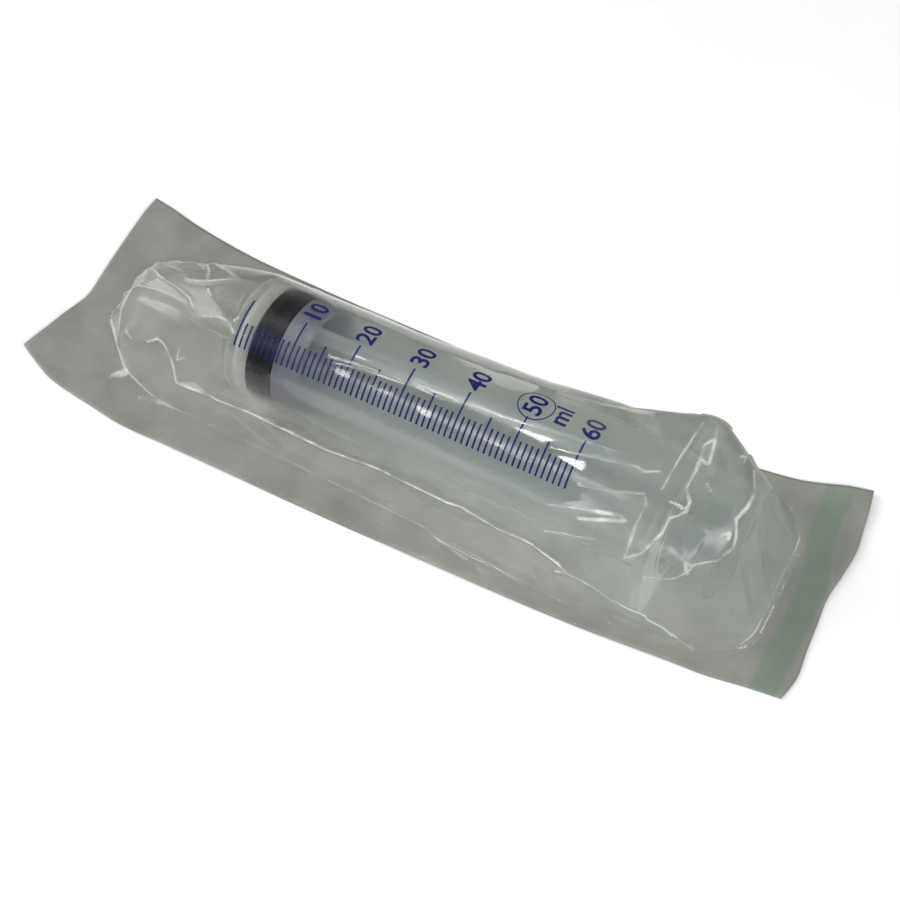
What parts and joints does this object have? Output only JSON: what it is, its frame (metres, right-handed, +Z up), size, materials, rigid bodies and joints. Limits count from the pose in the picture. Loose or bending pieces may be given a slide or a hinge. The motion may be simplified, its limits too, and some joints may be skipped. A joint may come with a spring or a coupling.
{
  "type": "catheter tip syringe in peel pack",
  "caption": "Large syringe with a tapered catheter tip and sliding rubber-tipped plunger, lying in a clear film and paper peel pack.",
  "frame": {"origin": "under the middle of the pack, on the underside of the paper backing", "axes": "+X along the syringe from the tip to the thumb plate, +Y to the far side, +Z up from the surface the pack lies on"},
  "size_m": [0.2168, 0.07, 0.0341],
  "materials": {
    "barrel": "translucent polypropylene, glossy, printed scale",
    "plunger_rod": "moulded polypropylene, satin",
    "piston": "moulded synthetic rubber, smooth",
    "pack_film": "thin clear formed film, glossy, creased",
    "pack_backing": "coated medical paper"
  },
  "bodies": {
    "pack": {"pack_backing": "pack_backing"},
    "film": {"pack_film": "pack_film"},
    "syringe": {"barrel": "barrel"},
    "plunger": {"plunger_rod": "plunger_rod", "piston": "piston"}
  },
  "joints": [
    {"name": "film_peel", "type": "hinge", "parent": "pack", "child": "film", "pos_m": [-0.10535, 0, 0.0007], "axis": [0, -1, 0], "range_deg": [0, 135]},
    {"name": "syringe_lift", "type": "slide", "parent": "pack", "child": "syringe", "axis": [0, 0, 1], "range_m": [0, 0.03]},
    {"name": "plunger_slide", "type": "slide", "parent": "syringe", "child": "plunger", "axis": [1, 0, 0], "range_m": [-0.0032, 0.091]}
  ],
  "couplings": [
    {"joint": "syringe_lift", "follows": "film_peel", "m_per_rad": 0.0127},
    {"joint": "plunger_slide", "follows": "film_peel", "m_per_rad": 0.0386}
  ]
}
